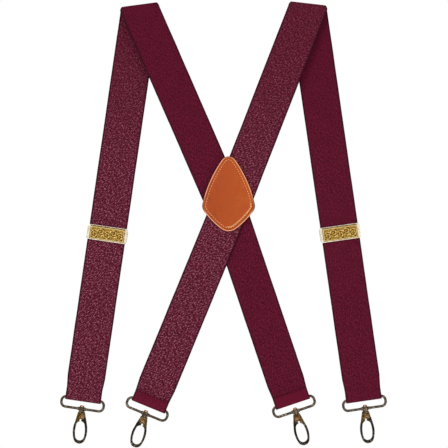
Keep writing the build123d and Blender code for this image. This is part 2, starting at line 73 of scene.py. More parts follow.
# webbing
WEB_WIDTH = 38 * MM
END_WIDTH = 36 * MM
WEB_THICK = 1.4 * MM
TAPER_LENGTH = 12 * MM
SELVEDGE_R = 0.62 * MM
SELVEDGE_EDGE_SHARE = 0.25
SELVEDGE_GROOVE_AT = 1.7 * MM
SELVEDGE_GROOVE_WIDTH = 0.3 * MM
SELVEDGE_GROOVE_SHARE = 0.2
WEB_SHARP_ANGLE = 50
STATION_STEP = 4 * MM
CREASE_FLARE = 40 * MM
CREASE_PINCH = 2.0 * MM
SHOULDER_STEPS = 24
EDGE_WOBBLE = 0.12 * MM
WOBBLE_PITCH = 23 * MM
WOBBLE_LINES_APART = 7.3
WOBBLE_LINE = 0.4

# turned ends
LOOP_CHANNEL_R = 1.6 * MM
BAR_CHANNEL_R = 1.0 * MM
BACK_HEM_RISE = 9 * MM
BACK_HEM_KNEE = 7.2 * MM
TURN_RISE = 10 * MM
RUN_GAP = 0.15 * MM
BAR_HEM_RISE = 12 * MM
BAR_HEM_KNEE = 6 * MM
KNEE_SOFTNESS = 1.2 * MM
TURN_STEPS = 20
KNEE_STEPS = 6
LAP_STARTS = 10

TURN = 2 * math.pi
FRONT = Vector((0, -1, 0))
BACK = -FRONT
SIDES = ("left", "right")
ENDS = ("front_left", "front_right", "back_left", "back_right")
BACK_END_OF = {"left": "back_right", "right": "back_left"}
JOINTS = {joint["name"]: joint for joint in frame["joints"]}
MOUNTS = {mount["name"]: mount for mount in frame["record"]["mounts"]}


# ---------------------------------------------------------------- places from the frame


def joint_at(name):
    """Where a joint sits at rest."""
    return Vector(JOINTS[name]["pos_m"])


def joint_axis(name):
    """A joint's direction at rest."""
    return Vector(JOINTS[name]["axis"]).normalized()


def upward(across):
    """The direction up a strap whose across direction lies in the XZ plane."""
    return Vector((-across.z, 0, across.x))


def rightward(up):
    """The across direction of a strap that runs along up."""
    return Vector((up.z, 0, -up.x))


def at_depth(point, y):
    """The same point at another depth."""
    return Vector((point.x, y, point.z))


def back_layer_y(side):
    """Mid-plane depth of a back strap."""
    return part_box("back_strap_" + side)[1].y - WEB_THICK / 2


def front_layer_y(side):
    """Mid-plane depth of a front run."""
    low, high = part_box("front_strap_" + side)
    return (low.y + high.y) / 2


def middle_of(node):
    """Middle of a node's box."""
    low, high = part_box(node)
    return (low + high) / 2


def crease_pair(side, y):
    """The two ends of the shoulder crease, at this depth."""
    half = MOUNTS["shoulder_fold_" + side]["dims"]["length_mm"] * MM / 2
    centre = at_depth(joint_at("shoulder_fold_" + side), y)
    along = joint_axis("shoulder_fold_" + side)
    return centre - along * half, centre + along * half


# ---------------------------------------------------------------- meshes


def new_piece(name, points, faces, material, smooth=True):
    """A mesh object made from points and faces."""
    mesh = bpy.data.meshes.new(name)
    mesh.from_pydata([tuple(point) for point in points], [], faces)
    mesh.polygons.foreach_set("use_smooth", [smooth] * len(mesh.polygons))
    mesh.materials.append(material)
    mesh.update()
    piece = bpy.data.objects.new(name, mesh)
    bpy.context.scene.collection.objects.link(piece)
    return piece


def sharpen(piece, angle):
    """Keeps edges crisp where faces meet at more than this angle, in degrees."""
    piece.data.set_sharp_from_angle(angle=math.radians(angle))


def set_uv(piece, uvs):
    """Gives every corner its point's (u, v)."""
    layer = piece.data.uv_layers.new(name="weave")
    for loop in piece.data.loops:
        layer.data[loop.index].uv = uvs[loop.vertex_index]


def set_attribute(piece, name, values):
    """A number on every point, for the material to read."""
    attribute = piece.data.attributes.new(name, "FLOAT", "POINT")
    attribute.data.foreach_set("value", values)


def smooth_step(value, low, high):
    """0 below low, 1 above high, eased between."""
    share = min(max((value - low) / (high - low), 0.0), 1.0)
    return share * share * (3 - 2 * share)


def tube_faces(rings, count, first=0):
    """Faces of a closed tube through rings of count points each, from the point numbered first."""
    faces = []
    for row in range(rings - 1):
        a = first + row * count
        b = a + count
        for i in range(count):
            j = (i + 1) % count
            faces.append((a + i, a + j, b + j, b + i))
    last = first + (rings - 1) * count
    faces.append(tuple(range(first + count - 1, first - 1, -1)))
    faces.append(tuple(range(last, last + count)))
    return faces


def fix_normals(piece):
    """Turns every face outwards."""
    volume = 0.0
    mesh = piece.data
    for polygon in mesh.polygons:
        corners = [mesh.vertices[i].co for i in polygon.vertices]
        for i in range(1, len(corners) - 1):
            volume += corners[0].dot(corners[i].cross(corners[i + 1]))
    if volume < 0:
        mesh.flip_normals()


# ---------------------------------------------------------------- webbing


def section_distances():
    """Distances from the left selvedge at which the webbing's section has points."""
    near = [0, 0.06, 0.22, 0.42, SELVEDGE_R / MM, 1.1, 1.4, 1.7, 2.0, 2.4]
    near = [distance * MM for distance in near]
    middle = [WEB_WIDTH / 2 * share for share in (0.25, 0.45, 0.65, 0.82, 1.0)]
    half = near + middle
    return half + [WEB_WIDTH - distance for distance in half[-2::-1]]


def half_thickness(distance):
    """Half the webbing's thickness at this distance from its nearer selvedge."""
    full = WEB_THICK / 2
    if distance < SELVEDGE_R:
        share = 1 - distance / SELVEDGE_R
        round_off = math.sqrt(max(1 - share * share, 0))
        return full * (SELVEDGE_EDGE_SHARE + (1 - SELVEDGE_EDGE_SHARE) * round_off)
    dip = math.exp(-(((distance - SELVEDGE_GROOVE_AT) / SELVEDGE_GROOVE_WIDTH) ** 2))
    return full * (1 - SELVEDGE_GROOVE_SHARE * dip)


def edge_wobble(side, v):
    """Small unevenness of a woven edge. Each side, -1 or 1, follows its own line of the noise."""
    spot = Vector((side * WOBBLE_LINES_APART, v / WOBBLE_PITCH, WOBBLE_LINE))
    return EDGE_WOBBLE * noise.noise(spot)


def strip(name, stations, material, lap_rows=0):
    """A closed band of webbing through stations of (left, right, face normal, left v, right v).
    The last lap_rows stations are marked as the sewn lap."""
    distances = section_distances()
    points, uvs = [], []
    for left, right, normal, v_left, v_right in stations:
        across = (right - left).normalized()
        low = left + across * edge_wobble(-1, v_left)
        high = right + across * edge_wobble(1, v_right)
        ring, ring_uv = [], []
        for distance in distances:
            share = distance / WEB_WIDTH
            middle = low.lerp(high, share)
            rise = normal * half_thickness(min(distance, WEB_WIDTH - distance))
            ring.append((middle + rise, middle - rise))
            ring_uv.append((distance - WEB_WIDTH / 2, v_left + (v_right - v_left) * share))
        points += [pair[0] for pair in ring] + [pair[1] for pair in reversed(ring)]
        uvs += ring_uv + ring_uv[::-1]
    count = 2 * len(distances)
    piece = new_piece(name, points, tube_faces(len(stations), count), material)
    sharpen(piece, WEB_SHARP_ANGLE)
    set_uv(piece, uvs)
    lap_from = (len(stations) - lap_rows) * count
    set_attribute(piece, "lap", [float(i >= lap_from) for i in range(len(points))])
    fix_normals(piece)
    return piece


def add_run(stations, pair, normal):
    """Adds evenly spaced stations from the last one to this (left, right) pair."""
    left, right, _, v_left, v_right = stations[-1]
    run_left, run_right = (pair[0] - left).length, (pair[1] - right).length
    steps = max(1, round(max(run_left, run_right) / STATION_STEP))
    for i in range(1, steps + 1):
        share = i / steps
        stations.append(
            (
                left.lerp(pair[0], share),
                right.lerp(pair[1], share),
                normal,
                v_left + run_left * share,
                v_right + run_right * share,
            )
        )


def cross_pair(centre, across, half):
    """The two edges of a strap square across it."""
    return centre - across * half, centre + across * half


def turned_path(channel_r, gap, rise, knee):
    """Mid-line of webbing turned round a bar, in (v, n): down the main run, round, and up the lap."""
    mid_r = channel_r + WEB_THICK / 2
    lap = -channel_r + gap + WEB_THICK / 2
    touch = math.atan2(lap, knee) + math.acos(mid_r / math.hypot(knee, lap))
    first, last = -math.pi / 2, touch - TURN
    path = []
    for i in range(TURN_STEPS + 1):
        angle = first + (last - first) * i / TURN_STEPS
        path.append((mid_r * math.cos(angle), mid_r * math.sin(angle)))
    end_v, end_n = path[-1]
    run = math.hypot(knee - end_v, lap - end_n)
    back_off = KNEE_SOFTNESS / run
    before = (knee + (end_v - knee) * back_off, lap + (end_n - lap) * back_off)
    after = (knee + KNEE_SOFTNESS, lap)
    path.append((end_v + (before[0] - end_v) * 0.5, end_n + (before[1] - end_n) * 0.5))
    for i in range(KNEE_STEPS + 1):
        t = i / KNEE_STEPS
        weights = ((1 - t) ** 2, 2 * t * (1 - t), t * t)
        ends = (before, (knee, lap), after)
        path.append(tuple(sum(w * p[k] for w, p in zip(weights, ends)) for k in (0, 1)))
    path.append((rise, lap))
    return path


def add_turn(stations, bar, up, hem_way, half, path):
    """Adds stations that follow a turned path round a bar. hem_way is the side it turns to."""
    across = rightward(up)
    left, right, normal, v_left, v_right = stations[-1]
    sign = 1 if normal.dot(hem_way) < 0 else -1
    for i, (v, n) in enumerate(path):
        here = bar + up * v + hem_way * n
        before = path[max(i - 1, 0)]
        after = path[min(i + 1, len(path) - 1)]
        along = (up * (after[0] - before[0]) + hem_way * (after[1] - before[1])).normalized()
        outward = along.cross(across) if i else -hem_way
        if i and outward.dot(previous) < 0:
            outward = -outward
        previous = outward
        pair = cross_pair(here, across, half)
        v_left += (pair[0] - left).length
        v_right += (pair[1] - right).length
        left, right = pair
        if i or (pair[0] - stations[-1][0]).length > MM / 100:
            stations.append((left, right, outward * sign, v_left, v_right))


def first_station(pair, normal, centre, up):
    """The first station, with v measured along the strap from centre."""
    v_left, v_right = ((centre - edge).dot(up) for edge in pair)
    return (pair[0], pair[1], normal, v_left, v_right)


def back_webbing(side, material):
    """One back strap, from the shoulder crease through the crossing to its sewn hem."""
    end = BACK_END_OF[side]
    y = back_layer_y(side)
    shoulder = at_depth(joint_at("shoulder_fold_" + side), y)
    crossing = at_depth(Vector(MOUNTS["patch_face"]["pos_m"]), y)
    bar = joint_at("loop_hinge_" + end)
    upper = (shoulder - crossing).normalized()
    lower = upward(joint_axis("loop_hinge_" + end))
    base = at_depth(bar, y)
    half, end_half = WEB_WIDTH / 2, END_WIDTH / 2
    mitre = (rightward(upper) + rightward(lower)).normalized()
    mitre_half = half / mitre.dot(rightward(upper))
    stations = [first_station(crease_pair(side, y), FRONT, shoulder, upper)]
    add_run(stations, cross_pair(shoulder - upper * CREASE_FLARE, rightward(upper), half), FRONT)
    add_run(stations, cross_pair(crossing, mitre, mitre_half), FRONT)
    taper_top = base + lower * (BACK_HEM_RISE + TAPER_LENGTH)
    add_run(stations, cross_pair(taper_top, rightward(lower), half), FRONT)
    hem_top = base + lower * BACK_HEM_RISE
    add_run(stations, cross_pair(hem_top, rightward(lower), end_half), FRONT)
    path = turned_path(LOOP_CHANNEL_R, 0, BACK_HEM_RISE, BACK_HEM_KNEE)
    add_turn(stations, bar, lower, FRONT, end_half, path)
    piece = strip("back_webbing_" + side, stations, material, lap_rows=len(path) - LAP_STARTS)
    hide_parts("back_strap_" + side)
    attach(piece, "back")


def shoulder_webbing(side, material):
    """The half turn over the shoulder, a little pinched at its top."""
    low_y, high_y = back_layer_y(side), front_layer_y(side)
    radius = (high_y - low_y) / 2
    axis = joint_axis("shoulder_fold_" + side)
    rise = upward(axis)
    pair = crease_pair(side, (low_y + high_y) / 2)
    stations = []
    for i in range(SHOULDER_STEPS + 1):
        angle = math.pi * i / SHOULDER_STEPS
        radial = FRONT * math.cos(angle) + rise * math.sin(angle)
        pinch = axis * (CREASE_PINCH * math.sin(angle) ** 2)
        v = radius * angle
        stations.append(
            (pair[0] + radial * radius + pinch, pair[1] + radial * radius - pinch, radial, v, v)
        )
    piece = strip("shoulder_webbing_" + side, stations, material)
    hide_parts("shoulder_bend_" + side)
    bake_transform(piece)


def front_webbing(side, material):
    """The front run, from the crease to just above the loop."""
    end = "front_" + side
    y = front_layer_y(side)
    shoulder = at_depth(joint_at("shoulder_fold_" + side), y)
    base = at_depth(joint_at("loop_hinge_" + end), y)
    up = upward(joint_axis("loop_hinge_" + end))
    across = rightward(up)
    stations = [first_station(crease_pair(side, y), FRONT, shoulder, up)]
    add_run(stations, cross_pair(shoulder - up * CREASE_FLARE, across, WEB_WIDTH / 2), FRONT)
    taper_top = base + up * (TURN_RISE + TAPER_LENGTH)
    add_run(stations, cross_pair(taper_top, across, WEB_WIDTH / 2), FRONT)
    low = base + up * TURN_RISE
    add_run(stations, cross_pair(low, across, END_WIDTH / 2), FRONT)
    piece = strip("front_webbing_" + side, stations, material)
    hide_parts("front_strap_" + side)
    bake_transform(piece)


def turn_webbing(side, material):
    """The front strap's turn round the loop bar."""
    end = "front_" + side
    bar = joint_at("loop_hinge_" + end)
    up = upward(joint_axis("loop_hinge_" + end))
    base = at_depth(bar, front_layer_y(side))
    top = cross_pair(base + up * TURN_RISE, rightward(up), END_WIDTH / 2)
    stations = [first_station(top, FRONT, base, up)]
    add_turn(
        stations, bar, up, BACK, END_WIDTH / 2,
        turned_path(LOOP_CHANNEL_R, RUN_GAP, TURN_RISE, BACK_HEM_KNEE),
    )
    piece = strip("turn_webbing_" + side, stations, material)
    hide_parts("strap_turn_" + side)
    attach(piece, "strap_end_" + side)


def return_webbing(side, material):
    """The run behind the front strap, from the turn up and round the adjuster's bar."""
    end = "front_" + side
    up = upward(joint_axis("loop_hinge_" + end))
    y = front_layer_y(side) + WEB_THICK + RUN_GAP
    low = at_depth(joint_at("loop_hinge_" + end), y) + up * TURN_RISE
    bar = middle_of("adjuster_bar_" + side)
    high = at_depth(bar, y)
    pair = cross_pair(low, rightward(up), END_WIDTH / 2)
    stations = [first_station(pair, FRONT, low, up)]
    high_pair = cross_pair(high - up * BAR_HEM_RISE, rightward(up), END_WIDTH / 2)
    add_run(stations, high_pair, FRONT)
    path = turned_path(BAR_CHANNEL_R, 0, BAR_HEM_RISE, BAR_HEM_KNEE)
    add_turn(stations, bar, -up, BACK, -END_WIDTH / 2, path)
    piece = strip("return_webbing_" + side, stations, material)
    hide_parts("return_run_" + side)
    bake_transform(piece)


# ---------------------------------------------------------------- materials


def shade(red, green, blue):
    """A linear colour from display values of 0 to 255."""
    channels = [value / 255 for value in (red, green, blue)]
    return tuple(((c + 0.055) / 1.055) ** 2.4 if c > 0.04 else c / 12.92 for c in channels) + (1,)


BEVEL_SAMPLES = 6
FLAT_COSINE = 0.98
EDGE_COSINE = 0.82


class Shader:
    """A material being wired up. Its calls that make a node return the node's output."""

    def __init__(self, name, **surface):
        self.material = bpy.data.materials.new(name)
        self.material.use_nodes = True
        self.tree = self.material.node_tree
        self.surface = self.tree.nodes["Principled BSDF"]
        for key, value in surface.items():
            title = key.replace("_", " ").title().replace("Ior", "IOR")
            self.put(self.surface.inputs[title], value)

    def put(self, socket, value):
        """Links an output to an input socket, or sets the socket to a plain value."""
        if isinstance(value, bpy.types.NodeSocket):
            self.tree.links.new(value, socket)
        else:
            socket.default_value = value

    def node(self, kind, inputs, output=0, **settings):
        """Any shader node, with its inputs by name or number and its settings."""
        made = self.tree.nodes.new("ShaderNode" + kind)
        for key, value in settings.items():
            setattr(made, key, value)
        for key, value in inputs.items():
            self.put(made.inputs[key], value)
        return made.outputs[output]

    def math(self, operation, a, b=0.0, clamp=False):
        """Arithmetic on one or two values."""
        return self.node("Math", {0: a, 1: b}, operation=operation, use_clamp=clamp)

    def mix(self, amount, a, b):
        """Colour a where amount is 0 and colour b where it is 1."""
        return self.node("Mix", {0: amount, 6: a, 7: b}, output=2, data_type="RGBA")

    def noise(self, vector, scale, detail=2.0, roughness=0.5):
        """Smooth noise from 0 to 1, mostly near 0.5."""
        inputs = {"Vector": vector, "Scale": scale, "Detail": detail, "Roughness": roughness}
        return self.node("TexNoise", inputs)

    def ease(self, value, low, high, to_low=0.0, to_high=1.0):
        """Goes smoothly from to_low to to_high as the value goes from low to high."""
        inputs = {0: value, 1: low, 2: high, 3: to_low, 4: to_high}
        return self.node("MapRange", inputs, interpolation_type="SMOOTHSTEP")

    def band(self, value, starts, full, fades, ends):
        """1 between full and fades, and 0 before starts and after ends."""
        return self.math("MULTIPLY", self.ease(value, starts, full), self.ease(value, ends, fades))

    def place(self):
        """Object coordinates in millimetres."""
        spot = self.node("TexCoord", {}, output=3)
        return self.node("VectorMath", {0: spot, 3: 1 / MM}, operation="SCALE")

    def weave(self):
        """Weave coordinates in millimetres."""
        spot = self.node("UVMap", {}, uv_map="weave")
        return self.node("VectorMath", {0: spot, 3: 1 / MM}, operation="SCALE")

    def split(self, vector):
        """The x, y and z of a vector."""
        made = self.tree.nodes.new("ShaderNodeSeparateXYZ")
        self.put(made.inputs[0], vector)
        return made.outputs

    def attribute(self, name):
        """A number that set_attribute put on the mesh."""
        return self.node("Attribute", {}, output=2, attribute_name=name)

    def bump(self, height, depth, under=None):
        """A normal bent by a height, on top of another normal if one is given."""
        inputs = {"Height": height, "Distance": depth, "Strength": 1.0}
        if under is not None:
            inputs["Normal"] = under
        return self.node("Bump", inputs)

    def edges(self, radius):
        """1 on worn outer edges and 0 on flats."""
        soft = self.node("Bevel", {"Radius": radius}, samples=BEVEL_SAMPLES)
        plain = self.node("NewGeometry", {}, output=1)
        turn = self.node("VectorMath", {0: soft, 1: plain}, output=1, operation="DOT_PRODUCT")
        return self.ease(turn, FLAT_COSINE, EDGE_COSINE)

    def finish(self, colour=None, roughness=None, normal=None):
        """Wires the results to the surface and returns the material."""
        for key, value in (("Base Color", colour), ("Roughness", roughness), ("Normal", normal)):
            if value is not None:
                self.put(self.surface.inputs[key], value)
        return self.material


# Materials measure their patterns in millimetres. Bump depths and bevels are in metres.
TWILL_PITCH = 2.0
TWILL_STEEPNESS = 0.9
TWILL_DRIFT = 1.6
TWILL_YARN_PITCH = 1.15
SELVEDGE_STARTS = 17.05
SELVEDGE_FULL = 17.9
RIB_PITCH = 1.1
STREAK_ALONG = 0.34
STREAK_ACROSS = 0.7
FLECKS_THIN_Z = 205.0
FLECKS_FULL_Z = -15.0
FLECKS_THIN_SHARE = 0.3
WEAVE_BUMP = 0.22 * MM
# dark wine for the darker yarns and flecks, and also the painted shade in grooves and under the hem's cut end
WINE_DARK_AND_SHADE = (0.004, 0.0003, 0.001, 1)
SELVEDGE_WINE = shade(56, 14, 28)
LAP_WINE = shade(100, 18, 42)


def webbing_material(name, base, light, heather):
    """Elastic webbing: a steep twill with heathered yarns and dark selvedges; its grooves are darker, partly
    by yarn colour and partly by painted shade. Its pale flecks thin out towards the shoulders and on the
    sewn lap, which starts with a painted shadow line along its cut end."""
    s = Shader(name, roughness=0.85, specular_ior_level=0.04)
    spot = s.weave()
    u, v = s.split(spot)[:2]
    drift = s.noise(spot, 0.22, 1.0)
    diagonal = s.math("SUBTRACT", u, s.math("MULTIPLY", v, TWILL_STEEPNESS))
    diagonal = s.math("ADD", diagonal, s.math("MULTIPLY", drift, TWILL_DRIFT))
    twill = s.math("SINE", s.math("MULTIPLY", diagonal, TURN / TWILL_PITCH))
    yarn = s.math("SINE", s.math("MULTIPLY", s.math("ADD", u, v), TURN / TWILL_YARN_PITCH))
    weave = s.math("ADD", s.math("MULTIPLY", twill, 0.36), s.math("MULTIPLY", yarn, 0.16))
    weave = s.math("ADD", weave, 0.5)
    streak = s.tree.nodes.new("ShaderNodeCombineXYZ")
    s.put(streak.inputs[0], s.math("MULTIPLY", s.math("SUBTRACT", u, v), STREAK_ALONG))
    s.put(streak.inputs[1], s.math("MULTIPLY", s.math("ADD", u, v), STREAK_ACROSS))
    fleck = s.noise(streak.outputs[0], 1.0, 2.0, 0.6)
    cloud = s.noise(spot, 0.07, 2.0)
    lap = s.attribute("lap")
    lit = s.math("MULTIPLY", s.ease(fleck, 0.5, 0.68), s.ease(weave, 0.2, 0.8, 0.4, 1.0))
    lit = s.math("MULTIPLY", lit, s.ease(lap, 0.0, 1.0, heather, 0.2 * heather), clamp=True)
    z = s.split(s.place())[2]
    lit = s.math("MULTIPLY", lit, s.ease(z, FLECKS_THIN_Z, FLECKS_FULL_Z, FLECKS_THIN_SHARE, 1.0))
    dark = s.mix(0.72, base, WINE_DARK_AND_SHADE)
    # the twill's low grooves are darker: partly yarn colour, partly painted shade
    colour = s.mix(s.ease(weave, 0.05, 0.7), dark, base)
    colour = s.mix(s.ease(fleck, 0.5, 0.34, 0.0, 0.9), colour, dark)
    colour = s.mix(lit, colour, light)
    colour = s.mix(s.math("MULTIPLY", lap, 0.6), colour, LAP_WINE)
    # painted shadow: a dark line along the lap's cut end
    hem_shadow_line = s.band(lap, 0.1, 0.5, 0.5, 0.9)
    colour = s.mix(s.math("MULTIPLY", hem_shadow_line, 0.55), colour, dark)
    colour = s.mix(s.ease(cloud, 0.35, 0.7, 0.0, 0.16), colour, dark)
    selvedge = s.ease(s.math("ABSOLUTE", u), SELVEDGE_STARTS, SELVEDGE_FULL)
    colour = s.mix(selvedge, colour, SELVEDGE_WINE)
    ribs = s.math("SINE", s.math("MULTIPLY", v, TURN / RIB_PITCH))
    height = s.mix(selvedge, weave, s.math("ADD", s.math("MULTIPLY", ribs, 0.3), 0.5))
    height = s.math("ADD", height, s.math("MULTIPLY", fleck, 0.5))
    return s.finish(colour, normal=s.bump(height, WEAVE_BUMP))


# zones by distance from the patch's edge: starts, full, fades, ends
PALE_RIM = (0.15, 0.4, 0.7, 1.25)
GROOVE_SHADOW = (1.4, 2.4, 3.2, 4.0)
GROOVE_SHADE_ZONE = (2.9, 3.3, 3.7, 4.1)
RIDGE_HIGHLIGHT_BAND = (3.9, 4.2, 4.5, 4.9)
CUT_EDGE = (0.25, 0.05)
EDGE_SHADE_REACH = (1.7, 0.7)
# zones by place on the patch: where each starts and where it is full
TOP_CORNER = (51.0, 57.0)
SIDE_CORNERS = (22.0, 26.0)
LOW_RIGHT = (11.0, 16.0)
SWEEP_REACH = 26.0
PORE_BUMP = 0.04 * MM
GRAIN_BUMP = 0.08 * MM
BURNISH_AND_HIGHLIGHT_PEACH = shade(244, 178, 136)
EDGE_SHADE_BROWN = shade(88, 38, 18)
SHADOW_BROWN = shade(112, 48, 20)
HIGHLIGHT_CREAM = shade(250, 190, 130)


def leather_material(name, base, dark, light):
    """Waxed tan leather, with painted shading from darker at the left to lighter at the right. Its pale rim is
    partly the burnished edge and partly a painted highlight on the rounded edge; the stitch groove has painted
    shade, and the edge has painted shade at the top and side corners and in a thin line along the cut. At the
    lower right the groove's outer side has painted shade and its inner ridge a painted highlight."""
    s = Shader(name, coat_weight=0.05, coat_roughness=0.25, specular_ior_level=0.14)
    spot = s.place()
    x, _, high = s.split(spot)
    z = s.math("SUBTRACT", high, MOUNTS["patch_face"]["pos_m"][2] / MM)
    # painted shading: from the dark colour at the left to the light one at the right
    side_shading = s.ease(x, -SWEEP_REACH, SWEEP_REACH)
    mottle = s.noise(spot, 0.12, 3.0, 0.6)
    colour = s.mix(side_shading, dark, light)
    colour = s.mix(s.ease(mottle, 0.3, 0.7), colour, base)
    grain = s.node("TexVoronoi", {"Vector": spot, "Scale": 1.5}, feature="DISTANCE_TO_EDGE")
    pores = s.ease(grain, 0.0, 0.14)
    fine = s.noise(spot, 2.4, 3.0, 0.6)
    inset = s.attribute("inset")
    gaps = s.math("MULTIPLY", s.math("SUBTRACT", 1.0, pores), 0.2)
    colour = s.mix(gaps, colour, dark)
    # pale rim: partly the burnished edge's tone, partly a painted highlight on the rounded edge
    rim = s.math("MULTIPLY", s.band(inset, *PALE_RIM), 0.85)
    colour = s.mix(rim, colour, BURNISH_AND_HIGHLIGHT_PEACH)
    # painted shade in the stitch groove
    groove = s.math("MULTIPLY", s.band(inset, *GROOVE_SHADE_ZONE), 0.35)
    colour = s.mix(groove, colour, dark)
    # painted shade on the edge: at the top and side corners, and a thin line along the cut all round
    corner = s.math("MAXIMUM", s.ease(z, *TOP_CORNER), s.ease(s.math("ABSOLUTE", x), *SIDE_CORNERS))
    edge_shade = s.math("MULTIPLY", corner, s.ease(inset, *EDGE_SHADE_REACH, 0.0, 0.85))
    colour = s.mix(s.math("MAXIMUM", edge_shade, s.ease(inset, *CUT_EDGE)), colour, EDGE_SHADE_BROWN)
    low_right = s.ease(s.math("SUBTRACT", x, z), *LOW_RIGHT)
    shadow = s.math("MULTIPLY", s.band(inset, *GROOVE_SHADOW), 0.5)
    colour = s.mix(s.math("MULTIPLY", low_right, shadow), colour, SHADOW_BROWN)
    # painted highlight along the groove's inner ridge at the lower right
    ridge = s.math("MULTIPLY", s.band(inset, *RIDGE_HIGHLIGHT_BAND), 0.6)
    colour = s.mix(s.math("MULTIPLY", low_right, ridge), colour, HIGHLIGHT_CREAM)
    roughness = s.ease(fine, 0.2, 0.8, 0.42, 0.6)
    return s.finish(colour, roughness, s.bump(pores, PORE_BUMP, s.bump(fine, GRAIN_BUMP)))


THREAD_SHADOW = (0.03, 0.008, 0.002, 1)
THREAD_SLANT = 2.0
TWIST_BUMP = 0.08 * MM


def thread_material(name, colour):
    """Twisted waxed thread, with painted shade between its plies."""
    s = Shader(name, roughness=0.7, specular_ior_level=0.1)
    u, v = s.split(s.weave())[:2]
    slant = s.math("ADD", u, s.math("MULTIPLY", v, THREAD_SLANT))
    ply = s.ease(s.math("SINE", s.math("MULTIPLY", slant, TURN)), -1.0, 1.0)
    # painted shade between the plies
    dark = s.mix(0.3, colour, THREAD_SHADOW)
    return s.finish(s.mix(ply, dark, colour), normal=s.bump(ply, TWIST_BUMP))


WORN_EDGE_R = 0.3 * MM
SOFT_EDGE_R = 0.7 * MM
TIP_STARTS = -1.5
TIP_FULL = 2.5
PATINA_BUMP = 0.05 * MM


def metal_material(name, deep, base, wear_and_highlight, wear=1.0, rim=0.5, glints=0.2, tip=None, tip_z=0.0):
    """Plated metal: mottled patina with painted highlight glints, bright edges that are partly wear and partly a
    painted highlight, and painted shade on the flanks that turn away from the view.
    Above tip_z (millimetres) the plating has the tip colour, where one is given."""
    s = Shader(name, metallic=1.0)
    spot = s.place()
    patina = s.noise(spot, 0.5, 3.0, 0.6)
    fine = s.noise(spot, 3.2, 2.0, 0.6)
    if tip:
        z = s.math("ADD", s.split(spot)[2], s.math("MULTIPLY", patina, 2.0))
        base = s.mix(s.ease(z, tip_z + TIP_STARTS, tip_z + TIP_FULL), base, tip)
    colour = s.mix(s.ease(patina, 0.32, 0.6, 0.4, 1.0), deep, base)
    # painted highlights: glints of the bright colour on the patina's high spots
    colour = s.mix(s.ease(patina, 0.52, 0.68, 0.0, glints), colour, wear_and_highlight)
    # painted shade: darker where the surface turns away from the view, by the rim amount
    flank = s.node("LayerWeight", {"Blend": 0.5}, 1)
    colour = s.mix(s.ease(flank, 0.05, 0.38, 0.0, rim), colour, deep)
    # bright edges: partly rubbed wear, partly a painted highlight
    rubbed_and_highlit = s.ease(fine, 0.3, 0.6, 0.35 * wear, 0.95 * wear)
    colour = s.mix(s.math("MULTIPLY", s.edges(WORN_EDGE_R), rubbed_and_highlit), colour, wear_and_highlight)
    roughness = s.ease(fine, 0.2, 0.8, 0.22, 0.44)
    soft = s.node("Bevel", {"Radius": SOFT_EDGE_R}, samples=BEVEL_SAMPLES)
    return s.finish(colour, roughness, s.bump(s.math("ADD", fine, patina), PATINA_BUMP, soft))


RELIEF_DARK = shade(80, 54, 18)
RELIEF_BRASS = shade(170, 134, 62)
RELIEF_RUBBED_AND_HIGHLIT = shade(246, 220, 150)
RELIEF_BUMP = 0.06 * MM


def relief_material(name):
    """Antiqued brass relief: dark in the hollows, and bright on the ridges, partly brass polished by rubbing
    and partly a painted highlight.
    """
    s = Shader(name, metallic=1.0)
    spot = s.place()
    height = s.attribute("height")
    fine = s.noise(spot, 2.6, 2.0, 0.6)
    height = s.math("ADD", height, s.math("MULTIPLY", s.math("SUBTRACT", fine, 0.5), 0.2))
    colour = s.mix(s.ease(height, 0.05, 0.5), RELIEF_DARK, RELIEF_BRASS)
    # bright ridges: partly polished brass, partly a painted highlight
    colour = s.mix(s.ease(height, 0.6, 0.95), colour, RELIEF_RUBBED_AND_HIGHLIT)
    roughness = s.ease(height, 0.0, 0.8, 0.55, 0.26)
    return s.finish(colour, roughness, s.bump(fine, RELIEF_BUMP))


# ---------------------------------------------------------------- leather patch

PATCH_THICK = 2.0 * MM
PATCH_RIM_WIDTH = 4.6 * MM
OUTLINE_POINTS = 240
OUTLINE_SMOOTHINGS = 4
STITCH_INSET = 3.5 * MM
STITCH_PITCH = 2.7 * MM
PATCH_EDGE_R = 0.8 * MM
PATCH_GROOVE_WIDTH = 0.75 * MM
PATCH_GROOVE_DEPTH = 0.45 * MM
PATCH_CROWN = 0.9 * MM
PATCH_SHARP_ANGLE = 60
UNEVEN_PITCH = 9 * MM
UNEVEN_HEIGHT = 0.08 * MM
UNEVEN_STARTS = 0.5 * MM
UNEVEN_FULL = 3 * MM


def perimeter(corners):
    """Length of a closed outline."""
    return sum((b - a).length for a, b in zip(corners, corners[1:] + corners[:1]))


def spaced_round(corners, count):
    """Evenly spaced points round a closed outline, each with the outline's direction there."""
    closed = corners + [corners[0]]
    lengths = [0.0]
    for a, b in zip(closed, closed[1:]):
        lengths.append(lengths[-1] + (b - a).length)
    spaced, k = [], 0
    for i in range(count):
        want = lengths[-1] * i / count
        while lengths[k + 1] < want:
            k += 1
        share = (want - lengths[k]) / (lengths[k + 1] - lengths[k])
        spot = closed[k].lerp(closed[k + 1], share)
        spaced.append((spot, (closed[k + 1] - closed[k]).normalized()))
    return spaced


def patch_outline(node):
    """The patch's outline in (x, z), evenly spaced, from the CAD piece's silhouette."""
    spots = [vertex.co.xz for vertex in frame["nodes"][node].data.vertices]
    hull = [spots[i].copy() for i in geometry.convex_hull_2d(spots)]
    outline = [spot for spot, _ in spaced_round(hull, OUTLINE_POINTS)]
    for _ in range(OUTLINE_SMOOTHINGS):
        outline = [
            (outline[i - 1] + outline[i] * 2 + outline[(i + 1) % OUTLINE_POINTS]) / 4
            for i in range(OUTLINE_POINTS)
        ]
    return outline


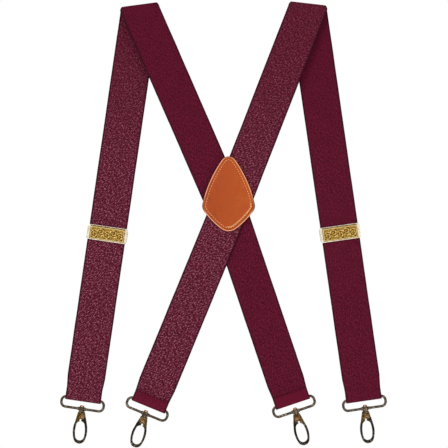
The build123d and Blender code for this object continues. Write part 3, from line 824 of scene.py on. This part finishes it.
def inset_outline(outline, distance, centre):
    """The outline moved inwards, square to itself."""
    moved = []
    count = len(outline)
    for i, spot in enumerate(outline):
        along = (outline[(i + 2) % count] - outline[i - 2]).normalized()
        inward = Vector((-along.y, along.x))
        if inward.dot(centre - spot) < 0:
            inward = -inward
        moved.append(spot + inward * distance)
    return moved


def patch_rise(distance):
    """Height of the patch's finished face over its seat, at this distance from the edge."""
    body = PATCH_THICK
    if distance < PATCH_EDGE_R:
        share = 1 - distance / PATCH_EDGE_R
        body -= PATCH_EDGE_R * (1 - math.sqrt(max(1 - share * share, 0)))
    groove = math.exp(-(((distance - STITCH_INSET) / PATCH_GROOVE_WIDTH) ** 2))
    crown = smooth_step(distance, STITCH_INSET, 4 * STITCH_INSET)
    return body - PATCH_GROOVE_DEPTH * groove + PATCH_CROWN * crown


def patch_rings(outline, centre):
    """Rings of the patch's face as (distance from the edge, points), from the edge inwards."""
    steps = [0, 0.05, 0.15, 0.3, 0.5, 0.8, 1.2, 1.7, 2.2, 2.6, 2.9, 3.2, 3.5, 3.8, 4.1]
    steps = [step * MM for step in steps] + [PATCH_RIM_WIDTH]
    rings = [(step, inset_outline(outline, step, centre)) for step in steps]
    inner = rings[-1][1]
    reach = min((spot - centre).length for spot in inner)
    for share in (0.1, 0.2, 0.32, 0.45, 0.6, 0.75, 0.9):
        rings.append((PATCH_RIM_WIDTH + reach * share, [spot.lerp(centre, share) for spot in inner]))
    return rings, reach


def leather_patch(name, node, way, material):
    """One leather piece: rounded edge, stitch groove and a soft crown. way is its face's side."""
    low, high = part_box(node)
    seat = high.y if way.y < 0 else low.y
    outline = patch_outline(node)
    centre = sum(outline, Vector((0, 0))) / len(outline)
    rings, reach = patch_rings(outline, centre)
    points, insets = [], []
    for spot in outline:
        points.append((spot.x, seat, spot.y))
        insets.append(0.0)
    for distance, ring in rings:
        rise = patch_rise(distance)
        for spot in ring:
            uneven = noise.noise(Vector((spot.x, spot.y, 0)) / UNEVEN_PITCH) * UNEVEN_HEIGHT
            lift = rise + uneven * smooth_step(distance, UNEVEN_STARTS, UNEVEN_FULL)
            points.append((spot.x, seat + way.y * lift, spot.y))
            insets.append(distance / MM)
    count = OUTLINE_POINTS
    faces = []
    for row in range(len(rings)):
        for i in range(count):
            j = (i + 1) % count
            a, b = row * count, (row + 1) * count
            faces.append((a + i, a + j, b + j, b + i))
    last = len(rings) * count
    top, bottom = len(points), len(points) + 1
    points.append((centre.x, seat + way.y * patch_rise(1.0), centre.y))
    points.append((centre.x, seat, centre.y))
    insets += [reach / MM, 0.0]
    for i in range(count):
        j = (i + 1) % count
        faces.append((last + i, last + j, top))
        faces.append((j, i, bottom))
    piece = new_piece(name, points, faces, material)
    sharpen(piece, PATCH_SHARP_ANGLE)
    set_attribute(piece, "inset", insets)
    fix_normals(piece)
    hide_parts(node)
    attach(piece, "back")
    return outline, centre, seat


STITCH_LENGTH = 2.0 * MM
STITCH_RISE = 0.9
STITCH_DIVE = 2.2
STITCH_TAPER = 0.25
HEM_STITCH_DROP = 0.8 * MM
THREAD_R = 0.36 * MM
THREAD_SIDES = 8
THREAD_STEPS = 8


def add_stitch(middle, along, out, points, faces, uvs):
    """Adds one stitch: a bowed thread that dives into its holes at both ends."""
    side = along.cross(out)
    first = len(points)
    for i in range(THREAD_STEPS + 1):
        t = 2 * i / THREAD_STEPS - 1
        lift = THREAD_R * (STITCH_RISE - STITCH_DIVE * t**4)
        radius = THREAD_R * (1 - STITCH_TAPER * t * t)
        centre = middle + along * (t * STITCH_LENGTH / 2) + out * lift
        for k in range(THREAD_SIDES):
            angle = TURN * k / THREAD_SIDES
            points.append(centre + (side * math.cos(angle) + out * math.sin(angle)) * radius)
            uvs.append((t * STITCH_LENGTH / 2, k / THREAD_SIDES * MM))
    faces.extend(tube_faces(THREAD_STEPS + 1, THREAD_SIDES, first))


def thread_piece(name, rows, material, node, body):
    """A piece of many stitches, each given as (middle, along, out)."""
    points, faces, uvs = [], [], []
    for middle, along, out in rows:
        add_stitch(middle, along, out, points, faces, uvs)
    piece = new_piece(name, points, faces, material)
    set_uv(piece, uvs)
    fix_normals(piece)
    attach(piece, body)
    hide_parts(node)


def patch_stitches(outline, centre, seat, way):
    """Stitches evenly along the groove of a patch."""
    row = inset_outline(outline, STITCH_INSET, centre)
    depth = seat + way.y * patch_rise(STITCH_INSET)
    stitches = []
    for spot, along in spaced_round(row, round(perimeter(row) / STITCH_PITCH)):
        stitches.append((Vector((spot.x, depth, spot.y)), Vector((along.x, 0, along.y)), way))
    return stitches


def hem_stitches(end):
    """The row across a back hem, just below its cut edge."""
    bar = joint_at("loop_hinge_" + end)
    across = joint_axis("loop_hinge_" + end)
    up = upward(across)
    face_n = -LOOP_CHANNEL_R + WEB_THICK
    count = int(END_WIDTH / STITCH_PITCH)
    rows = []
    for i in range(count):
        u = (i - (count - 1) / 2) * STITCH_PITCH
        middle = bar + across * u + up * (BACK_HEM_RISE - HEM_STITCH_DROP) + FRONT * face_n
        rows.append((middle, across, FRONT))
    return rows


# ---------------------------------------------------------------- adjuster cover

COVER_SKIN_WIDTH = 33.8 * MM
COVER_SKIN_HEIGHT = 11.9 * MM
COVER_SKIN_DROP = 5.65 * MM
RELIEF_STEP = 0.22 * MM
RELIEF_HEIGHT = 0.35 * MM
RELIEF_SKIRT = 0.3 * MM
RELIEF_SHARP_ANGLE = 70
RIM_RISES_TO = 0.25 * MM
RIM_FALLS_FROM = 0.55 * MM
RIM_WIDTH = 0.8 * MM
RIM_SHARE = 0.95
FIELD_FULL_FROM = 1.4 * MM
FIELD_SHARE = 0.9
THIN_SHARE = 0.3
THIN_WIDTH = 1.0 * MM
THIN_FADED = 2.0 * MM
SCROLL_SPACING = 6.4 * MM
SCROLL_PITCH = 2.3 * MM
SCROLL_SHIFT = 0.22
COIL_SHARE = 0.68
LEAVES = 5
LEAF_PITCH = 0.7 * MM
LEAF_STARTS = 0.6 * MM
LEAF_FULL = 2.2 * MM


def scroll_height(u, v, half_height):
    """Height of a scrolling vine, 0 to 1, at (u, v) from the cover's middle. The nearest scroll
    gives it, and the scrolls stand by turns above and below the middle."""
    place = round(u / SCROLL_SPACING)
    best = None
    for i in (place - 1, place, place + 1):
        way = 1 if i % 2 else -1
        cu, cv = i * SCROLL_SPACING, way * half_height * SCROLL_SHIFT
        reach = math.hypot(u - cu, v - cv)
        if best is None or reach < best[0]:
            best = (reach, math.atan2(v - cv, u - cu), way)
    reach, angle, way = best
    coil = 0.5 + 0.5 * math.cos(TURN * reach / SCROLL_PITCH - way * angle)
    leaf = 0.5 + 0.5 * math.cos(LEAVES * angle + way * reach / LEAF_PITCH)
    leaf *= smooth_step(reach, LEAF_STARTS, LEAF_FULL)
    return COIL_SHARE * coil**1.3 + (1 - COIL_SHARE) * leaf


def relief_value(u, v, half_width, half_height):
    """Distance from the skin's edge, and the height there, 0 to 1, of the embossed pattern: a
    raised rim round a field of scrolls."""
    edge = min(half_width - abs(u), half_height - abs(v))
    rim = smooth_step(edge, 0, RIM_RISES_TO) * (1 - smooth_step(edge, RIM_FALLS_FROM, RIM_WIDTH))
    field = smooth_step(edge, RIM_WIDTH, FIELD_FULL_FROM) * scroll_height(u, v, half_height)
    return edge, max(rim * RIM_SHARE, field * FIELD_SHARE)


def cover_relief(side, material):
    """Embossed skin on the front of the adjuster's cover, thinner beside the hinge so that
    it passes the frame when the cover opens."""
    face_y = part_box("adjuster_cover_" + side)[0].y
    across = joint_axis("loop_hinge_front_" + side)
    up = upward(across)
    width, height = COVER_SKIN_WIDTH, COVER_SKIN_HEIGHT
    middle = at_depth(joint_at("cover_hinge_" + side), face_y) - up * COVER_SKIN_DROP
    columns = round(width / RELIEF_STEP)
    rows = round(height / RELIEF_STEP)
    points, values, faces = [], [], []
    for j in range(rows + 1):
        for i in range(columns + 1):
            u = width * (i / columns - 0.5)
            v = height * (j / rows - 0.5)
            edge, value = relief_value(u, v, width / 2, height / 2)
            thin = THIN_SHARE + (1 - THIN_SHARE) * smooth_step(height / 2 - v, THIN_WIDTH, THIN_FADED)
            lift = value * RELIEF_HEIGHT * thin if edge > 0 else -RELIEF_SKIRT
            points.append(middle + across * u + up * v + FRONT * lift)
            values.append(value)
    stride = columns + 1
    for j in range(rows):
        for i in range(columns):
            a = j * stride + i
            faces.append((a, a + 1, a + 1 + stride, a + stride))
    border = list(range(stride))
    border += [j * stride + columns for j in range(1, rows + 1)]
    border += [rows * stride + i for i in range(columns - 1, -1, -1)]
    border += [j * stride for j in range(rows - 1, 0, -1)]
    faces.append(tuple(reversed(border)))
    piece = new_piece("cover_relief_" + side, points, faces, material)
    sharpen(piece, RELIEF_SHARP_ANGLE)
    set_attribute(piece, "height", values)
    fix_normals(piece)
    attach(piece, "cover_" + side)


# ---------------------------------------------------------------- hooks

PIVOT_RING_R = 1.95 * MM
PIVOT_RING_WIRE_R = 0.26 * MM
PIVOT_RING_STEPS = 32
PIVOT_RING_SIDES = 8
WEDGE_DROP = 13.0


def pivot_ring(end, material):
    """Raised ring round the gate's pivot on the hook's front cheek."""
    pivot = joint_at("gate_hinge_" + end)
    face_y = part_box("gate_pin_" + end)[0].y
    points, faces = [], []
    for i in range(PIVOT_RING_STEPS):
        turn = TURN * i / PIVOT_RING_STEPS
        out = Vector((math.cos(turn), 0, math.sin(turn)))
        for k in range(PIVOT_RING_SIDES):
            angle = TURN * k / PIVOT_RING_SIDES
            reach = PIVOT_RING_R + PIVOT_RING_WIRE_R * math.cos(angle)
            depth = face_y + PIVOT_RING_WIRE_R * math.sin(angle)
            points.append(at_depth(pivot, depth) + out * reach)
    for i in range(PIVOT_RING_STEPS):
        for k in range(PIVOT_RING_SIDES):
            j, m = (i + 1) % PIVOT_RING_STEPS, (k + 1) % PIVOT_RING_SIDES
            corners = ((i, k), (i, m), (j, m), (j, k))
            faces.append(tuple(a * PIVOT_RING_SIDES + b for a, b in corners))
    piece = new_piece("pivot_ring_" + end, points, faces, material)
    fix_normals(piece)
    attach(piece, "snap_hook_" + end)


def hook_metal(end):
    """Dark bronze for one hook, warmer on the wedge under its swivel."""
    return metal_material(
        "antique_bronze_" + end, shade(6, 5, 4), shade(54, 47, 38), shade(250, 236, 206),
        wear=0.25, rim=0.97, tip=shade(92, 70, 28),
        tip_z=joint_at("hook_swivel_" + end).z / MM - WEDGE_DROP,
    )


# ---------------------------------------------------------------- build


def dress(node, material):
    """Gives a carried-over CAD node its finish."""
    mesh = frame["nodes"][node].data
    mesh.materials.clear()
    mesh.materials.append(material)


def build_webbing():
    """All webbing. The left front and the right back straps get the copy with paler, stronger flecks."""
    plain = webbing_material("webbing_plain", shade(98, 20, 44), shade(122, 44, 68), 0.7)
    flecked = webbing_material("webbing_flecked", shade(98, 24, 46), shade(172, 106, 124), 1.0)
    back = {"left": plain, "right": flecked}
    front = {"left": flecked, "right": plain}
    for side in SIDES:
        back_webbing(side, back[side])
        shoulder_webbing(side, back[side])
        front_webbing(side, front[side])
        turn_webbing(side, front[side])
        return_webbing(side, front[side])
    hem_thread = thread_material("hem_thread", shade(74, 16, 30))
    rows = hem_stitches("back_left") + hem_stitches("back_right")
    thread_piece("hem_thread", rows, hem_thread, "hem_stitching", "back")


def build_patches():
    """Outer and inner leather with their sewn rows."""
    leather = leather_material(
        "tan_leather", shade(166, 70, 22), shade(146, 60, 20), shade(178, 82, 28),
    )
    thread = thread_material("patch_thread", shade(255, 176, 108))
    spots = leather_patch("leather_outer", "back_patch_outer", FRONT, leather)
    rows = patch_stitches(*spots, FRONT)
    spots = leather_patch("leather_inner", "back_patch_inner", BACK, leather)
    rows += patch_stitches(*spots, BACK)
    thread_piece("patch_thread", rows, thread, "patch_stitching", "back")


def build_adjusters(steel):
    """Finishes for the adjusters, and the relief on their covers."""
    brass = metal_material(
        "antique_brass", shade(92, 62, 24), shade(196, 152, 84), shade(250, 220, 160),
    )
    nickel = metal_material(
        "pale_nickel", shade(176, 158, 120), shade(240, 230, 206), shade(255, 250, 238),
    )
    relief = relief_material("brass_relief")
    for side in SIDES:
        dress("adjuster_frame_" + side, nickel)
        dress("adjuster_bar_" + side, steel)
        dress("adjuster_pin_" + side, steel)
        dress("adjuster_cover_" + side, brass)
        cover_relief(side, relief)


def build_hooks(steel):
    """Finishes for the loops and hooks, and the ring round each gate's pivot."""
    black = metal_material(
        "blackened_bronze", shade(10, 9, 9), shade(40, 35, 30), shade(226, 208, 176), glints=0.08,
    )
    loop = metal_material(
        "worn_bronze", shade(10, 8, 6), shade(98, 83, 66), shade(250, 236, 212), rim=0.97,
    )
    copper = metal_material(
        "copper_brass", shade(84, 48, 26), shade(204, 148, 104), shade(255, 232, 200),
    )
    for end in ENDS:
        dress("loop_" + end, loop)
        dress("hook_" + end, hook_metal(end))
        dress("gate_" + end, black)
        dress("gate_pin_" + end, copper)
        dress("gate_spring_" + end, steel)
        dress("swivel_rivet_" + end, copper)
        pivot_ring(end, copper)


# ---------------------------------------------------------------- studio

CAMERA_DISTANCE = 2.5
CAMERA_AIM = Vector((-4.3, 0, -12.4)) * MM
VIEW_WIDTH = 448 * MM
FLOOR_DROP = 150 * MM
FLOOR_SIZE = 8.0
FLOOR_CLOUD_SCALE = 3.0
FLOOR_FADES_FROM = 0.4
FLOOR_FADES_TO = 1.3
FLOOR_GLOW = 0.35
BRIGHT_WAY = Vector((-0.2, -0.85, 0.48)).normalized()
ROOM_GREYS = ((0.0, 0.03), (0.5, 0.12), (1.0, 1.0))
# name, place, width and power in watts
LIGHTS = (
    ("key", (-0.9, -1.5, 1.1), 0.9, 13),
    ("fill", (1.2, -1.2, 0.2), 1.0, 5),
    ("rear", (0.5, 1.4, 1.0), 1.0, 20),
)


def grey(value):
    """A linear grey, from 0 for black to 1 for white."""
    return (value, value, value, 1)


def build_floor():
    """A plain white floor, below the hooks at full take-up, fading into the white room."""
    s = Shader("floor_white", roughness=0.9, specular_ior_level=0.0)
    spot = s.node("TexCoord", {}, output=3)
    colour = s.mix(s.noise(spot, FLOOR_CLOUD_SCALE), grey(0.93), grey(0.96))
    distance = s.node("VectorMath", {0: spot}, 1, operation="LENGTH")
    away = s.ease(distance, FLOOR_FADES_FROM, FLOOR_FADES_TO)
    colour = s.mix(away, colour, grey(0))
    s.put(s.surface.inputs["Emission Color"], grey(1))
    s.put(s.surface.inputs["Emission Strength"], s.ease(away, 0.0, 1.0, FLOOR_GLOW, 1.0))
    material = s.finish(colour)
    z = cad_box[0][2] - FLOOR_DROP
    half = FLOOR_SIZE / 2
    corners = [(-half, -half, z), (half, -half, z), (half, half, z), (-half, half, z)]
    new_piece("floor", corners, [(0, 1, 2, 3)], material, smooth=False)


def build_world():
    """White to the camera. To everything else, a room that is bright in front and above."""
    world = bpy.data.worlds.new("studio")
    bpy.context.scene.world = world
    world.use_nodes = True
    nodes, links = world.node_tree.nodes, world.node_tree.links
    nodes.clear()
    white = nodes.new("ShaderNodeBackground")
    white.inputs["Color"].default_value = grey(1)
    room = nodes.new("ShaderNodeBackground")
    facing = nodes.new("ShaderNodeVectorMath")
    facing.operation = "DOT_PRODUCT"
    facing.inputs[1].default_value = BRIGHT_WAY
    share = nodes.new("ShaderNodeMapRange")
    share.inputs["From Min"].default_value = -1.0
    ramp = nodes.new("ShaderNodeValToRGB")
    stops = ramp.color_ramp.elements
    stops.new(ROOM_GREYS[1][0])
    for stop, (place, value) in zip(stops, ROOM_GREYS):
        stop.position = place
        stop.color = grey(value)
    spot = nodes.new("ShaderNodeTexCoord")
    links.new(spot.outputs["Generated"], facing.inputs[0])
    links.new(facing.outputs["Value"], share.inputs["Value"])
    links.new(share.outputs[0], ramp.inputs[0])
    links.new(ramp.outputs[0], room.inputs["Color"])
    path = nodes.new("ShaderNodeLightPath")
    choose = nodes.new("ShaderNodeMixShader")
    links.new(path.outputs["Is Camera Ray"], choose.inputs[0])
    links.new(room.outputs[0], choose.inputs[1])
    links.new(white.outputs[0], choose.inputs[2])
    out = nodes.new("ShaderNodeOutputWorld")
    links.new(choose.outputs[0], out.inputs[0])


def add_light(name, spot, size, power):
    """A square soft light that faces the middle of the object."""
    data = bpy.data.lights.new(name, "AREA")
    data.size = size
    data.energy = power
    light = bpy.data.objects.new(name, data)
    light.location = spot
    light.rotation_euler = (CAMERA_AIM - Vector(spot)).to_track_quat("-Z", "Y").to_euler()
    bpy.context.scene.collection.objects.link(light)


def build_camera():
    """Straight on to the back patch, level with the middle of the set."""
    data = bpy.data.cameras.new("camera")
    data.lens = data.sensor_width * CAMERA_DISTANCE / VIEW_WIDTH
    camera = bpy.data.objects.new("camera", data)
    camera.location = CAMERA_AIM + FRONT * CAMERA_DISTANCE
    camera.rotation_euler = (math.pi / 2, 0, 0)
    bpy.context.scene.collection.objects.link(camera)
    bpy.context.scene.camera = camera


build_webbing()
build_patches()
steel = metal_material("pin_steel", shade(120, 116, 110), shade(182, 178, 170), shade(240, 238, 232))
build_adjusters(steel)
build_hooks(steel)
build_floor()
build_world()
for light in LIGHTS:
    add_light(*light)
build_camera()
bpy.context.scene.view_settings.view_transform = "Standard"
